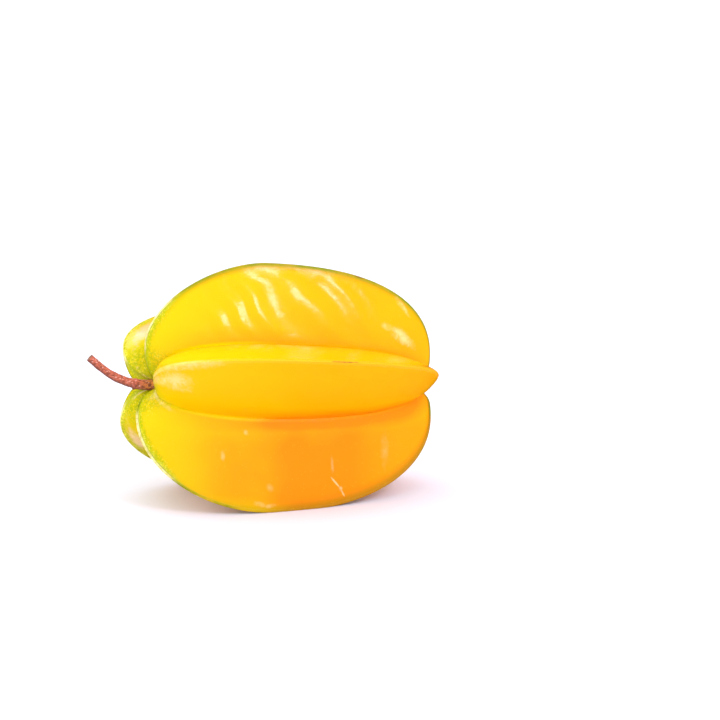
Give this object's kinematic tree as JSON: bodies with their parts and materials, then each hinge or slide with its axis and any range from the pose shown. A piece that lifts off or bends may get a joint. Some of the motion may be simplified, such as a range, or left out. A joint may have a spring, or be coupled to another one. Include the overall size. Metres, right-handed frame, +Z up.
{
  "type": "star fruit",
  "caption": "Whole ripe ribbed fruit, star-shaped in section, lying on its side with a short curved woody stalk.",
  "frame": {"origin": "on the surface that the fruit lies on, below the middle of the whole object with its stalk", "axes": "+Z up from the surface, +X along the fruit from the stalk end towards the blossom end, -Y the side that the front rib faces"},
  "size_m": [0.1116, 0.0766, 0.0747],
  "materials": {
    "skin": "waxy smooth fruit skin, yellow with green keels",
    "stalk": "dry reddish-brown bark"
  },
  "bodies": {
    "root": {"fruit": "skin", "stem": "stalk"}
  },
  "joints": []
}
